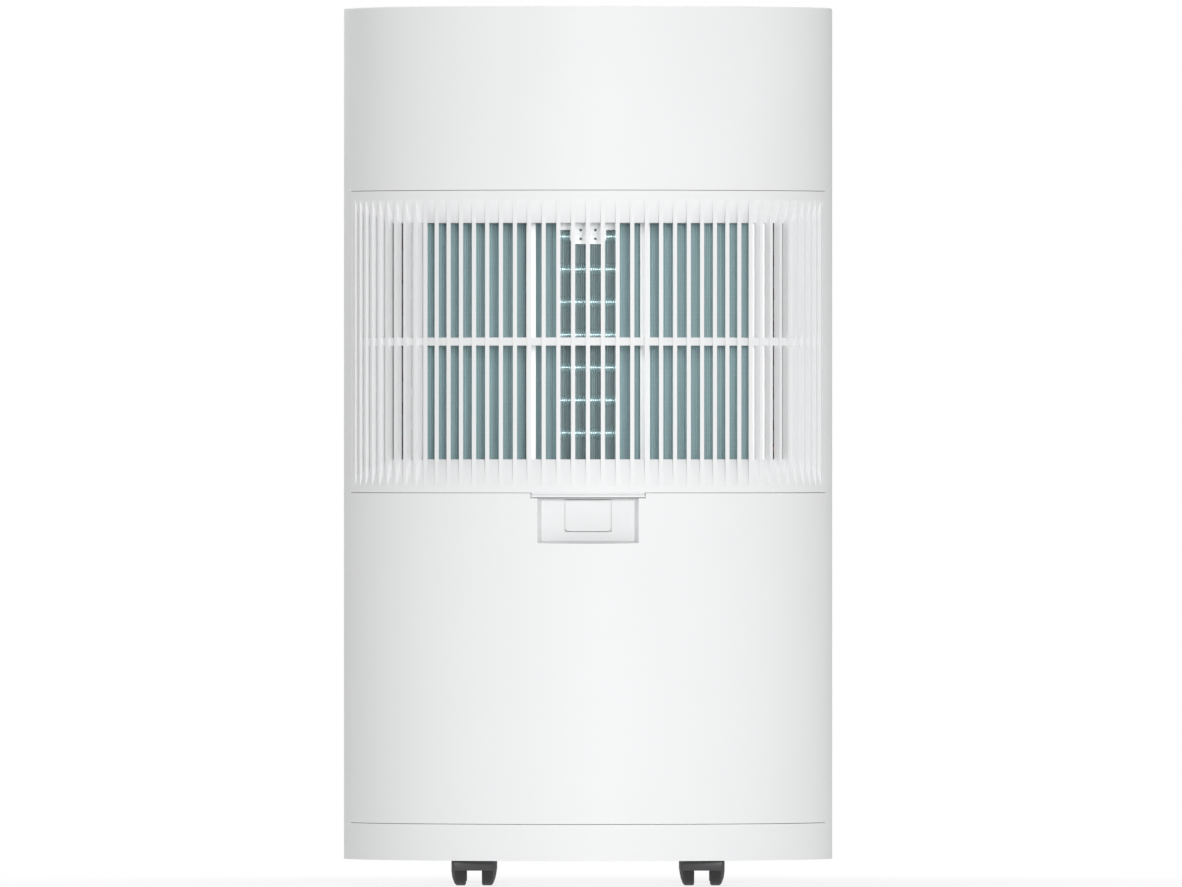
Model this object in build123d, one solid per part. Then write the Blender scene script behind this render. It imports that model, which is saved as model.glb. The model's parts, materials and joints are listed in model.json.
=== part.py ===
"""Portable room air conditioner: an upright cylinder on four twin-wheel casters.

Row frame, in millimetres: +Z is up, the floor is at Z 0 under the middle of the cylinder, the air outlet
faces the front (-Y) and the air intake grille faces the rear (+Y). Angles round the cylinder start at the
rear and turn towards +X.
"""
from build123d import *
from math import asin, atan2, cos, degrees, pi, radians, sin, sqrt
import os

# ---- driving dimensions -------------------------------------------------------------------------
BODY_R = 190.0  # outer radius of the casing
SKIN = 2.5  # wall of the moulded casing
BASE_Z = 19.4  # underside of the casing
TOP_Z = 681.0  # upper rim of the casing
PANEL_LOW = 47.6  # seam under the lower rear panel
PANEL_MID = 304.2  # seam between the lower rear panel and the grille
PANEL_TOP = 538.6  # seam over the grille
PANEL_HALF_ANGLE = 76.2  # the rear cut-out's edge, each side of the rear
SEAM = 0.4  # gap round each removable panel

WALL_R = BODY_R - SKIN  # inner radius of the casing
CORE_R = 183.6  # everything inside stays within this radius

# rear grille
SLATS_ROUND = 104  # slats that a full circle would hold
SLAT_LAST = 21  # slats each side of the middle one
SLAT_FREE = 12  # slats this far out stand free of the side wall and point straight back
SLAT_W = 3.2
SLAT_DEPTH = 5.6
RECESS = 5.0
GRILLE_BACK_R = BODY_R - RECESS - 2.4  # back of the reveals and the side walls
FIELD_ANGLE = 73.6  # half angle of the slatted field
SIDE_WALL_ANGLE = 56.0  # the recessed side walls start this far round
SLOPE_TOP = 531.2
WINDOW_TOP = 513.2
WINDOW_LOW = 330.1
SLOPE_LOW = 309.4
RAIL_Z = 421.3
RAIL_H = 6.2
LIP_HALF = 44.2

# finger pocket and latch, in the lower rear panel
POCKET_HALF = 41.1
POCKET_LOW = 264.4
POCKET_CEILING = 307.0
POCKET_FLOOR_Y = 175.5
LATCH_W = 34.8
LATCH_LOW = 274.5
LATCH_TOP = 298.6

# latch tab, hinged on a cross pin behind the pocket's floor
TAB_T = 2.2
TAB_GAP = 0.6
PIN_Y = POCKET_FLOOR_Y - 5.0
PIN_Z = 279.0
PIN_R = 1.2

# filter cassette
FILTER_Y = 115.0
FILTER_T = 4.6
FILTER_HALF = 136.8
FILTER_WINDOW_HALF = 124.9
FILTER_POST_X = 44.2
FILTER_POST_W = 7.4

# heat exchangers: half-inch stagger, one-inch tube pitch
TUBE_PITCH = 25.4
TUBE_ROW = 22.0
TUBE_R = 4.76
TUBE_GAP = 0.06
EVAP = {"y_near": 99.0, "y_far": 77.0, "z_first": 337.8, "per_row": 7}
EVAP_HALF = 128.0
EVAP_Y = (66.0, 110.0)
EVAP_Z = (325.1, 528.3)
COND = {"y_near": -129.0, "y_far": -107.0, "z_first": 83.0, "per_row": 7}
COND_X = (-105.0, 73.0)
COND_Y = (-140.0, -96.0)
COND_Z = (70.3, 273.5)
END_PLATE_T = 1.0
COIL_REST = (-30.0, 10.0, -134.0, -102.0)  # block under the condenser: x0, x1, y0, y1

# sensor bracket on the face of the cooling coil
BRACKET_LOW = 497.1
BRACKET_STEP = 508.0
BRACKET_TOP = 524.0
BRACKET_STEM_HALF = 14.0
BRACKET_HALF = 22.1
BRACKET_T = 1.8
BRACKET_HOLE_X = 5.7
BRACKET_HOLE_ZS = (501.1, 507.9)

# blowers: r0 and r1 are the scroll's radius at its tongue and at its throat
UPPER = {"x": 0.0, "z": 425.0, "y": -50.0, "depth": 84.0, "r0": 82.0, "r1": 108.0, "reach": 120.95}
LOWER = {"x": -22.0, "z": 185.0, "y": -25.0, "depth": 64.0, "r0": 74.0, "r1": 96.0, "reach": 200.0}
UPPER_WHEEL = {"radius": 75.0, "depth": 64.0, "hub_r": 16.0, "blades": 36}
LOWER_WHEEL = {"radius": 67.0, "depth": 48.0, "hub_r": 15.0, "blades": 32}
UPPER_WHEEL_SET = 14.0  # the wheel's back plate stands this far inside the scroll
LOWER_WHEEL_SET = 8.0
UPPER_INLET_R = 60.0
LOWER_INLET_R = 52.0
UPPER_MOTOR = {"radius": 34.0, "length": 44.0, "shaft": 60.0}
LOWER_MOTOR = {"radius": 34.0, "length": 42.0, "shaft": 44.0}
MOTOR_HOLE_R = 30.0
SHAFT_R = 4.0
TONGUE = 70.0  # angle of the scroll's tongue from its throat side
SCROLL_WALL = 2.0
BLADE_TURN = 28.0
BLADE_T = 1.3

# front outlet
DUCT_WALL = 2.0
DUCT_BACK = 62.0
DUCT_FOOT = 548.0
DUCT_BEND = 40.0
DUCT_HALF = 108.0
DUCT_LOW = 575.0
DUCT_HIGH = 655.0
LOUVER_Y = -150.0
LOUVER_FIRST = 588.0
LOUVER_PITCH = 18.0
LOUVER_COUNT = 4
LOUVER_CHORD = 20.0
VANE_Y = -112.0
VANE_PITCH = 60.0
VANE_COUNT = 3
VANE_CHORD = 30.0
PIVOT_R = 1.5
CRANK_R = 1.2
CRANK = 7.0  # offset of each louver's crank pin behind its pivot
VANE_CRANK = 9.0
SLOT_PLAY = 0.12  # a tie bar's slot is this much taller than its pin, each side
LINK_X = 98.5
LINK_T = 2.0
VANE_LINK_Z = 649.4
RUN_GAP = 0.08  # radial clearance of a running fit

# casters
CASTER_X = 88.4
CASTER_Y = 118.0
WHEEL_R = 17.0
WHEEL_IN = 6.15
WHEEL_TREAD = 15.0
WHEEL_OUT = 17.45
TRAIL = 11.0
WELL_R = 36.0
WELL_TOP = 42.5
STEM_R = 4.0
AXLE_R = 2.5
WEB_HALF = 5.5  # the hood's web, between the two wheels
HOOD_HALF = 15.2
HOOD_R = WHEEL_R + 3.4
HOOD_LOW = 11.6

# base
FLOOR_T = 3.0
DRAIN = (0.0, -60.0)
DRAIN_R = 9.0
FLOAT = (10.0, 60.0)
FLOAT_ROD_R = 2.5
BASE_SCREW_R = 165.0

# deck between the two compartments
DECK_Z = 291.0
DECK_T = 3.0
TRAY_TOP = 319.0
SUCTION_X = -158.0  # the suction line drops through the deck here
DECK_POSTS = [(166, 40), (-172, 20), (-140, -95), (60, -160)]
POST_HALF = 5.0

# compressor and its accumulator
COMPRESSOR = (-70.0, 92.0)
COMPRESSOR_R = 56.0
COMPRESSOR_H = 172.0
FOOT_R = 68.0
FOOT_Z = 50.0
TANK = (14.0, 128.0)
TANK_R = 22.0
TANK_LOW = 118.0
TANK_H = 112.0
SUCTION_R = 4.5
DISCHARGE_R = 3.5
CAPILLARY = (60.0, 130.0, 240.0)
CAPILLARY_TURNS = 5

# lid, lens and keys
LID_Z = 673.0
LID_T = 6.5
KEY_Y = -112.0
KEY_XS = [-40.0, 0.0, 40.0]
KEY_R = 7.0
KEY_GAP = 0.3
LENS_W = 150.0
LENS_H = 62.0
LENS_SHIFT = 12.0
BOARD_Z = 663.4

# lower intake slots in the front
SLOTS = 21
SLOT_W = 3.6
SLOT_STEP = 2.6
SLOT_Z = 170.0
SLOT_H = 176.0

# grommet in the casing's wall, where a supply lead would leave
GLAND_ANGLE = -112.0
GLAND_Z = 74.0
GLAND_R = 4.2

# exhaust port, on the +X side towards the front
PORT_ANGLE = 115.0
PORT_Z = 126.0
PORT_R = 65.0
PORT_WALL = 2.5
PORT_IN = 140.0
PORT_OUT = 173.0

LOW = (Align.CENTER, Align.CENTER, Align.MIN)


# ---- helpers ------------------------------------------------------------------------------------
def at(radius, angle):
    """Point at a radius and an angle in degrees from the rear, turning towards +X."""
    return (radius * sin(radians(angle)), radius * cos(radians(angle)))


def prism(face, z0, z1):
    """A flat face in XY, drawn up from z0 to z1."""
    return Pos(0, 0, z0) * extrude(face, z1 - z0, dir=(0, 0, 1))


def ring_sector(r_in, r_out, a0, a1, z0, z1):
    """Upright wall between two radii, from angle a0 to a1."""
    middle = (a0 + a1) / 2
    outline = (
        ThreePointArc(at(r_out, a0), at(r_out, middle), at(r_out, a1))
        + Line(at(r_out, a1), at(r_in, a1))
        + ThreePointArc(at(r_in, a1), at(r_in, middle), at(r_in, a0))
        + Line(at(r_in, a0), at(r_out, a0))
    )
    return prism(make_face(outline), z0, z1)


def turned_band(points, half_angle, middle=0.0):
    """An (r, z) outline turned about Z through half_angle each side of the middle angle."""
    face = Plane.XZ * make_face(Polyline(*points, close=True))
    start = 90 - middle - half_angle
    return revolve(Rot(0, 0, start) * face, Axis.Z, 2 * half_angle)


def tube(r_out, r_in, z0, z1):
    return Pos(0, 0, z0) * (Cylinder(r_out, z1 - z0, align=LOW) - Cylinder(r_in, z1 - z0, align=LOW))


def block(x0, x1, y0, y1, z0, z1):
    """A box between two values on each axis, in either order."""
    return Pos((x0 + x1) / 2, (y0 + y1) / 2, (z0 + z1) / 2) * Box(abs(x1 - x0), abs(y1 - y0), abs(z1 - z0))


def rod(start, end, radius):
    """A round bar between two points."""
    a, b = Vector(*start), Vector(*end)
    along = Plane(origin=a, z_dir=b - a)
    return along.location * Cylinder(radius, (b - a).length, align=LOW)


def group(*shapes):
    """Separate solids that share one node."""
    return Compound(children=[s for shape in shapes for s in shape.solids()])


# ---- casing -------------------------------------------------------------------------------------
def casing_half(side):
    """Half of the casing wall: side is +1 for the rear and -1 for the front."""
    wall = tube(BODY_R, WALL_R, BASE_Z, TOP_Z)
    wall = chamfer(wall.edges().filter_by(GeomType.CIRCLE).group_by(Axis.Z)[-1], 0.8)
    return wall & block(-BODY_R, BODY_R, 0, side * (BODY_R + 1), 0, TOP_Z + 1)


def rear_shell():
    """Rear half: a band over and under the panels and a strip at each side, with a ledge that backs them."""
    half_angle = PANEL_HALF_ANGLE
    shell = casing_half(1)
    shell -= ring_sector(WALL_R - 9, BODY_R + 2, -half_angle, half_angle, PANEL_LOW, PANEL_TOP)
    ledge_in, ledge_out = WALL_R - 3.2, WALL_R - 0.3
    for side in (-1, 1):
        near, far = sorted((side * (half_angle - 1.4), side * (half_angle + 2)))
        ledge = ring_sector(ledge_in, ledge_out, near, far, PANEL_LOW - 5, PANEL_TOP + 6)
        near, far = sorted((side * (half_angle + 0.2), side * (half_angle + 2)))
        root = ring_sector(ledge_in, WALL_R + 0.3, near, far, PANEL_LOW - 5, PANEL_TOP + 6)
        shell += ledge + root
    return shell


def front_shell():
    """Front half, with the outlet window, the lower intake slots and the hole for the exhaust port."""
    shell = casing_half(-1)
    window = DUCT_HALF - DUCT_WALL
    shell -= block(-window, window, -BODY_R - 5, -100, DUCT_LOW + 2, DUCT_HIGH - 2)
    for k in range(SLOTS):
        angle = 180 + (k - (SLOTS - 1) / 2) * SLOT_STEP
        slot = Pos(0, BODY_R - 2, SLOT_Z) * Box(SLOT_W, 16, SLOT_H)
        shell -= Rot(0, 0, -angle) * slot
    shell -= port_axis() * Pos(0, 0, 120) * Cylinder(PORT_R + 1.5, 90, align=LOW)
    gland_hole = Pos(0, BODY_R - 1, GLAND_Z) * Rot(90, 0, 0) * Cylinder(GLAND_R + 4, 12)
    return shell - Rot(0, 0, -GLAND_ANGLE) * gland_hole


def port_axis():
    """Local frame on the exhaust port's axis, Z outwards."""
    x, y = at(1, PORT_ANGLE)
    return Plane(origin=(0, 0, PORT_Z), z_dir=(x, y, 0)).location


def top_cover():
    """Lid in the casing's top: a recess for the lens, holes for the keys and four posts onto the board."""
    lens_z = LID_Z + 5
    cover = Pos(0, 0, LID_Z) * Cylinder(WALL_R - 0.3, LID_T, align=LOW)
    cover = chamfer(cover.edges().filter_by(GeomType.CIRCLE).group_by(Axis.Z)[-1], 1.2)
    cover -= Pos(0, 0, LID_Z - 3) * Cylinder(WALL_R - 6, 6.0, align=LOW)
    recess = prism(RectangleRounded(LENS_W + 2 * KEY_GAP, LENS_H + 2 * KEY_GAP, 12 + KEY_GAP), 0, 4)
    cover -= Pos(0, KEY_Y + LENS_SHIFT, lens_z) * recess
    for x in KEY_XS:
        cover -= Pos(x, KEY_Y, LID_Z - 3) * Cylinder(KEY_R + KEY_GAP, 15, align=LOW)
    for x in (-64, 64):
        for y in (KEY_Y - 9, KEY_Y + 38):
            cover += Pos(x, y, BOARD_Z + 1.65) * Cylinder(3, 11.5, align=LOW)
    return cover


def control_lens():
    """Dark window over the display and the keys."""
    lens = Pos(0, KEY_Y + LENS_SHIFT, LID_Z + 5) * prism(RectangleRounded(LENS_W, LENS_H, 12), 0.05, 2.0)
    for x in KEY_XS:
        lens -= Pos(x, KEY_Y, LID_Z + 3) * Cylinder(KEY_R + KEY_GAP, 6, align=LOW)
    return lens


def key(x):
    """Push key: dished cap, a flange that keeps it under the lid, and a stem over its switch."""
    dish_r = 39.6
    dish_depth = 0.7
    cap_top = LID_Z + 7.5
    cap = Pos(x, KEY_Y, LID_Z + 1.6) * Cylinder(KEY_R, 5.9, align=LOW)
    cap -= Pos(x, KEY_Y, cap_top - dish_depth + dish_r) * Sphere(dish_r)
    flange = Pos(x, KEY_Y, LID_Z + 1.4) * Cylinder(KEY_R + 1.5, 1.4, align=LOW)
    stem = Pos(x, KEY_Y, LID_Z - 5.4) * Cylinder(2.0, 7.2, align=LOW)
    return cap + flange + stem


def control_board():
    """Circuit board under the lid, with a switch under each key and the display's housing."""
    face = BOARD_Z + 1.6
    board = block(-70, 70, KEY_Y - 14, KEY_Y + 44, BOARD_Z, face)
    switches = [block(x - 3, x + 3, KEY_Y - 3, KEY_Y + 3, face - 0.1, face + 1.6) for x in KEY_XS]
    display = block(-36, 36, KEY_Y + 16, KEY_Y + 40, face - 0.1, face + 6.5)
    for extra in (*switches, display):
        board += extra
    return board


# ---- rear grille and filter ---------------------------------------------------------------------
def rear_grille():
    """Removable intake panel: a curved rim, sloped reveals, upright slats, a mid rail and the pull lip."""
    edge = PANEL_HALF_ANGLE - degrees(SEAM / BODY_R)
    low, high = PANEL_MID + SEAM / 2, PANEL_TOP - SEAM
    grille = ring_sector(WALL_R, BODY_R, -edge, edge, low, high)
    grille -= ring_sector(WALL_R - 5, BODY_R + 5, -FIELD_ANGLE, FIELD_ANGLE, SLOPE_LOW, SLOPE_TOP)
    r_deep, r_back = BODY_R - RECESS, GRILLE_BACK_R
    top_reveal = [(BODY_R, SLOPE_TOP), (r_deep, WINDOW_TOP), (r_back, WINDOW_TOP),
                  (r_back, WINDOW_TOP + 4), (WALL_R, SLOPE_TOP)]
    low_reveal = [(BODY_R, SLOPE_LOW), (r_deep, WINDOW_LOW), (r_back, WINDOW_LOW),
                  (r_back, WINDOW_LOW - 5), (WALL_R, SLOPE_LOW)]
    rail_low, rail_high = RAIL_Z - RAIL_H / 2, RAIL_Z + RAIL_H / 2
    rail_angle = FIELD_ANGLE + 0.3
    pieces = [
        turned_band(top_reveal, FIELD_ANGLE),
        turned_band(low_reveal, FIELD_ANGLE),
        ring_sector(BODY_R - SLAT_DEPTH + 0.2, WALL_R - 0.3, -rail_angle, rail_angle, rail_low, rail_high),
        pull_lip(),
    ]
    for side in (-1, 1):
        wall = (side * SIDE_WALL_ANGLE, side * FIELD_ANGLE)
        flange = (side * FIELD_ANGLE, side * (FIELD_ANGLE + 0.7))
        pieces.append(ring_sector(r_back, r_deep, *sorted(wall), WINDOW_LOW, WINDOW_TOP))
        pieces.append(ring_sector(r_back, WALL_R + 1, *sorted(flange), SLOPE_LOW, SLOPE_TOP))
    return grille.fuse(*pieces, *slats())


def slats():
    """Upright slats, flush with the casing. The free ones point straight back, the others outwards."""
    step = 360 / SLATS_ROUND
    height = SLOPE_TOP - SLOPE_LOW + 1
    sweep_ring = tube(BODY_R - 0.03, BODY_R - SLAT_DEPTH, SLOPE_LOW - 1, SLOPE_TOP + 1)
    blades = []
    for k in range(-SLAT_LAST, SLAT_LAST + 1):
        angle = k * step
        blank = Pos(0, 0, (SLOPE_TOP + SLOPE_LOW) / 2) * Box(SLAT_W, 24, height)
        if abs(k) <= SLAT_FREE:
            x, y = at(BODY_R, angle)
            blade = Pos(x, y, 0) * blank
        else:
            blade = Rot(0, 0, -angle) * Pos(0, BODY_R, 0) * blank
        blades.append((blade & sweep_ring).solids()[0])
    return blades


def pull_lip():
    """Tongue under the grille that a finger hooks behind: a shallow hollow over a flared edge."""
    profile = [(BODY_R - 0.1, 305.4), (BODY_R - 1.8, 303.6), (BODY_R, 302.2), (BODY_R, 300.7),
               (BODY_R - 3.4, 300.7), (BODY_R - 3.4, 303.6), (WALL_R + 0.1, 305.4)]
    return turned_band(profile, degrees(asin(LIP_HALF / BODY_R)))


def filter_frame():
    """Flat frame behind the slats, with two upright posts and four arms that carry it on the grille."""
    y0, y1 = FILTER_Y, FILTER_Y + FILTER_T
    frame = block(-FILTER_HALF, FILTER_HALF, y0, y1, WINDOW_LOW - 7.5, WINDOW_TOP + 7.5)
    frame -= block(-FILTER_WINDOW_HALF, FILTER_WINDOW_HALF, y0 - 1, y1 + 1, WINDOW_LOW, WINDOW_TOP)
    for side in (-1, 1):
        x = side * FILTER_POST_X
        frame += block(x - FILTER_POST_W / 2, x + FILTER_POST_W / 2, y0, y1, WINDOW_LOW - 1, WINDOW_TOP + 1)
    frame -= block(-FILTER_HALF + 4, FILTER_HALF - 4, y0 + 0.9, y0 + 1.9, WINDOW_LOW - 4, WINDOW_TOP + 4)
    for arm in filter_arms():
        frame += arm
    return frame & Pos(0, 0, 300) * Cylinder(GRILLE_BACK_R - 0.05, 300, align=LOW)


def filter_screen():
    """Fine mesh held in the frame's groove, as a plain sheet."""
    return block(-FILTER_HALF + 4.3, FILTER_HALF - 4.3, FILTER_Y + 1.2, FILTER_Y + 1.6,
                 WINDOW_LOW - 3.7, WINDOW_TOP + 3.7)


def filter_arms():
    """Arms that reach from the filter frame's corners to the grille."""
    arms = []
    for side in (-1, 1):
        for z in (WINDOW_LOW - 2.5, WINDOW_TOP + 2.2):
            x = side * 128.0
            arms.append(block(x - 5, x + 5, FILTER_Y + FILTER_T - 0.5, 152, z - 1.5, z + 1.5))
    return arms


# ---- lower rear panel and latch -----------------------------------------------------------------
def pocket_solid(grow, floor_y, high):
    """Tapered body of the finger pocket, grown by a wall, from its floor out to past the casing."""
    half, low = POCKET_HALF + grow, POCKET_LOW - grow
    slope = 5.2
    outer = Plane(origin=(0, BODY_R + 2, 0), x_dir=(1, 0, 0), z_dir=(0, -1, 0))
    inner = Plane(origin=(0, floor_y - grow, 0), x_dir=(1, 0, 0), z_dir=(0, -1, 0))
    wide = outer * Pos(0, (low + high) / 2) * Rectangle(2 * half, high - low)
    floor_low = low + slope / 2
    narrow = inner * Pos(0, (floor_low + high) / 2) * Rectangle(2 * (half - slope), high - floor_low)
    return loft([wide, narrow])


def lower_rear_panel():
    """Blank curved panel, notched for the pull lip, with the finger pocket, the latch's lugs and its pin."""
    edge = PANEL_HALF_ANGLE - degrees(SEAM / BODY_R)
    panel = ring_sector(WALL_R, BODY_R, -edge, edge, PANEL_LOW + SEAM, PANEL_MID - SEAM / 2)
    lip_angle = degrees(asin(LIP_HALF / BODY_R)) + 0.15
    panel -= ring_sector(WALL_R - 8, BODY_R + 5, -lip_angle, lip_angle, 300.1, PANEL_MID + 5)
    shell = pocket_solid(2.0, POCKET_FLOOR_Y, POCKET_CEILING + 1.6)
    below_lip = Pos(0, 0, 200) * Cylinder(BODY_R - 0.4, 99.9, align=LOW)
    behind_lip = Pos(0, 0, 299.8) * Cylinder(BODY_R - 4.2, 20, align=LOW)
    panel += (shell & below_lip) + (shell & behind_lip)
    panel -= pocket_solid(0.0, POCKET_FLOOR_Y, POCKET_CEILING)
    hole_half = LATCH_W / 2 + TAB_GAP
    panel -= block(-hole_half, hole_half, 160, POCKET_FLOOR_Y + 2, LATCH_LOW - TAB_GAP, LATCH_TOP + TAB_GAP)
    for side in (-1, 1):
        x = side * (LATCH_W / 2 + 3.2)
        panel += block(x - 1.6, x + 1.6, PIN_Y - 3, POCKET_FLOOR_Y - 1, PIN_Z - 3, PIN_Z + 3)
    pin_half = LATCH_W / 2 + 3.2
    return panel + rod((-pin_half, PIN_Y, PIN_Z), (pin_half, PIN_Y, PIN_Z), PIN_R)


def latch_tab():
    """Press tab in the pocket's floor, with a knuckle on the cross pin near its lower edge."""
    tab = block(-LATCH_W / 2, LATCH_W / 2, POCKET_FLOOR_Y - TAB_T, POCKET_FLOOR_Y, LATCH_LOW, LATCH_TOP)
    corners = tab.edges().filter_by(Axis.Y).group_by(Axis.Z)[0]
    tab = fillet(corners, 3.0)
    knuckle = Pos(0, PIN_Y, PIN_Z) * Rot(0, 90, 0) * Cylinder(2.6, LATCH_W - 2)
    web = block(-LATCH_W / 2 + 1, LATCH_W / 2 - 1, PIN_Y, POCKET_FLOOR_Y - 1, PIN_Z - 1.6, PIN_Z + 1.6)
    tab += knuckle + web
    return tab - Pos(0, PIN_Y, PIN_Z) * Rot(0, 90, 0) * Cylinder(PIN_R + RUN_GAP, LATCH_W + 2)


# ---- heat exchangers ----------------------------------------------------------------------------
def coil_centres(y_near, y_far, z_first, per_row):
    """Tube centres (y, z) in the order the refrigerant meets them, zigzag between the two rows."""
    centres = []
    for k in range(per_row):
        centres.append((y_far, z_first + k * TUBE_PITCH))
        centres.append((y_near, z_first + TUBE_PITCH / 2 + k * TUBE_PITCH))
    return centres


def coil_fins(centres, x0, x1, y0, y1, z0, z1):
    """Fin pack as one block with a hole for each tube."""
    pack = block(x0, x1, y0, y1, z0, z1)
    for y, z in centres:
        pack -= rod((x0 - 5, y, z), (x1 + 5, y, z), TUBE_R + TUBE_GAP)
    return pack


def coil_tubes(centres, x0, x1):
    """One serpentine: straight tubes joined by return bends at alternate ends."""
    edges = []
    for k, (y, z) in enumerate(centres):
        start, end = (x0, x1) if k % 2 == 0 else (x1, x0)
        edges.append(Line((start, y, z), (end, y, z)))
        if k + 1 < len(centres):
            y_next, z_next = centres[k + 1]
            bend_r = sqrt((y_next - y) ** 2 + (z_next - z) ** 2) / 2
            crown_x = end + (bend_r if end > start else -bend_r)
            crown = (crown_x, (y + y_next) / 2, (z + z_next) / 2)
            edges.append(ThreePointArc((end, y, z), crown, (end, y_next, z_next)))
    y, z = centres[0]
    section = Plane(origin=(x0, y, z), z_dir=(1, 0, 0)) * Circle(TUBE_R)
    return sweep(section, path=Wire(edges))


def coil_end_plates(centres, x0, x1, y0, y1, z0, z1):
    """Galvanised plate at each end of the fin pack."""
    plates = []
    for a, b in ((x0, x0 + END_PLATE_T), (x1 - END_PLATE_T, x1)):
        plate = block(a, b, y0, y1, z0, z1)
        for y, z in centres:
            plate -= rod((a - 2, y, z), (b + 2, y, z), TUBE_R + 0.3)
        plates.append(plate)
    return group(*plates)


def sensor_bracket():
    """Small T-shaped bracket hung in front of the coil's top, with two pairs of holes."""
    y0, y1 = EVAP_Y[1] + 0.02, EVAP_Y[1] + BRACKET_T
    plate = block(-BRACKET_STEM_HALF, BRACKET_STEM_HALF, y0, y1, BRACKET_LOW, BRACKET_TOP)
    plate = chamfer(plate.edges().filter_by(Axis.Y).group_by(Axis.Z)[0], 3.0)
    plate += block(-BRACKET_HALF, BRACKET_HALF, y0, y1, BRACKET_STEP, BRACKET_TOP)
    for x, z in bracket_holes():
        plate -= Pos(x, y0, z) * Rot(90, 0, 0) * Cylinder(1.1, 10)
    return plate


def bracket_holes():
    return [(side * BRACKET_HOLE_X, z) for side in (-1, 1) for z in BRACKET_HOLE_ZS]


def bracket_screws():
    """Short screws whose heads sit just inside the bracket's holes."""
    y0 = EVAP_Y[1] + 0.02
    return group(*[Pos(x, y0 + 0.75, z) * Rot(90, 0, 0) * Cylinder(1.0, 1.5) for x, z in bracket_holes()])


# ---- air movers ---------------------------------------------------------------------------------
def blower_wheel(radius, depth, hub_r, blades):
    """Squirrel-cage wheel on +Z: back plate, hub, blades and front ring, with its back at Z 0."""
    wheel = Cylinder(radius, 2, align=LOW) + Cylinder(hub_r, depth * 0.5, align=LOW)
    wheel += tube(radius, radius - 5, depth - 4, depth)
    chord = radius * 0.17
    for k in range(blades):
        blade = Rot(0, 0, BLADE_TURN) * Box(chord, BLADE_T, depth - 2)
        wheel += Rot(0, 0, k * 360 / blades) * Pos(radius - chord / 2 - 0.6, 0, depth / 2) * blade
    return wheel - Pos(0, 0, -1) * Cylinder(SHAFT_R + 0.05, depth, align=LOW)


def volute_face(r_start, r_end, reach, grow=0.0):
    """Scroll outline: the radius grows from the tongue round to +X, then a straight throat runs up."""
    steps = 8
    spiral = []
    for k in range(steps + 1):
        turn = TONGUE + (360 - TONGUE) * k / steps
        r = r_start + (r_end - r_start) * k / steps + grow
        spiral.append((r * cos(radians(turn)), r * sin(radians(turn))))
    round_part = make_face(Spline(*spiral) + Polyline(spiral[-1], (0, 0), spiral[0]))
    left, right = r_start * cos(radians(TONGUE)) - grow, r_end + grow
    throat = Pos((left + right) / 2, reach / 2) * Rectangle(right - left, reach)
    return round_part + Circle(r_start + grow) + throat


def scroll(blower, inlet_r):
    """Blower housing on +Z, open at its throat, with an inlet at its far face and a motor hole at Z 0."""
    r_start, r_end, reach, depth = blower["r0"], blower["r1"], blower["reach"], blower["depth"]
    outer = prism(volute_face(r_start, r_end, reach, SCROLL_WALL), 0, depth)
    inner = prism(volute_face(r_start, r_end, reach + 5), SCROLL_WALL, depth - SCROLL_WALL)
    shell = outer - inner
    shell -= Pos(0, 0, depth - 5) * Cylinder(inlet_r, 10, align=LOW)
    return shell - Pos(0, 0, -5) * Cylinder(MOTOR_HOLE_R, 10, align=LOW)


def motor(radius, length, shaft):
    """Motor on +Z with its mounting face at Z 0 and its shaft beyond; the can hangs below."""
    can = Pos(0, 0, -length) * Cylinder(radius, length - 0.02, align=LOW)
    can = fillet(can.edges().filter_by(GeomType.CIRCLE).group_by(Axis.Z)[0], 5)
    flange = Pos(0, 0, -4.02) * Cylinder(radius + 7, 4.0, align=LOW)
    return can + flange + Pos(0, 0, -1) * Cylinder(SHAFT_R, shaft + 1, align=LOW)


def upper_place():
    """Blower frame: local X to +X, local Y up, local Z to the rear."""
    return Plane(origin=(UPPER["x"], UPPER["y"], UPPER["z"]), x_dir=(-1, 0, 0), z_dir=(0, 1, 0)).location


def lower_place():
    """Exhaust blower frame: local Y to +X (its throat), local X down, local Z to the front."""
    return Plane(origin=(LOWER["x"], LOWER["y"], LOWER["z"]), x_dir=(0, 0, -1), z_dir=(0, -1, 0)).location


def blower_scroll():
    """Upper housing; its throat runs up into the outlet duct."""
    return upper_place() * scroll(UPPER, UPPER_INLET_R)


def exhaust_scroll():
    """Lower housing; its throat runs to +X and is trimmed square to the exhaust port."""
    housing = lower_place() * scroll(LOWER, LOWER_INLET_R)
    beyond = port_axis() * Pos(0, 0, PORT_IN - 3.2) * Box(500, 500, 300, align=LOW)
    return housing - beyond


def exhaust_collar():
    """Round hose socket behind the casing's hole, with a back plate that meets the blower's throat."""
    ring = tube(PORT_R + PORT_WALL, PORT_R, PORT_IN, PORT_OUT)
    plate = Pos(0, 0, PORT_IN - 3) * Cylinder(PORT_R + PORT_WALL, 3, align=LOW)
    collar = port_axis() * (ring + plate)
    throat_low, throat_high = LOWER["z"] - LOWER["r1"], LOWER["z"] - LOWER["r0"] * cos(radians(TONGUE))
    opening = block(60, 180, LOWER["y"] - LOWER["depth"] + 2, LOWER["y"] - 2, throat_low, throat_high)
    plate_only = port_axis() * Pos(0, 0, PORT_IN - 4) * Cylinder(PORT_R - 1, 5, align=LOW)
    return collar - (opening & plate_only)


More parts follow.
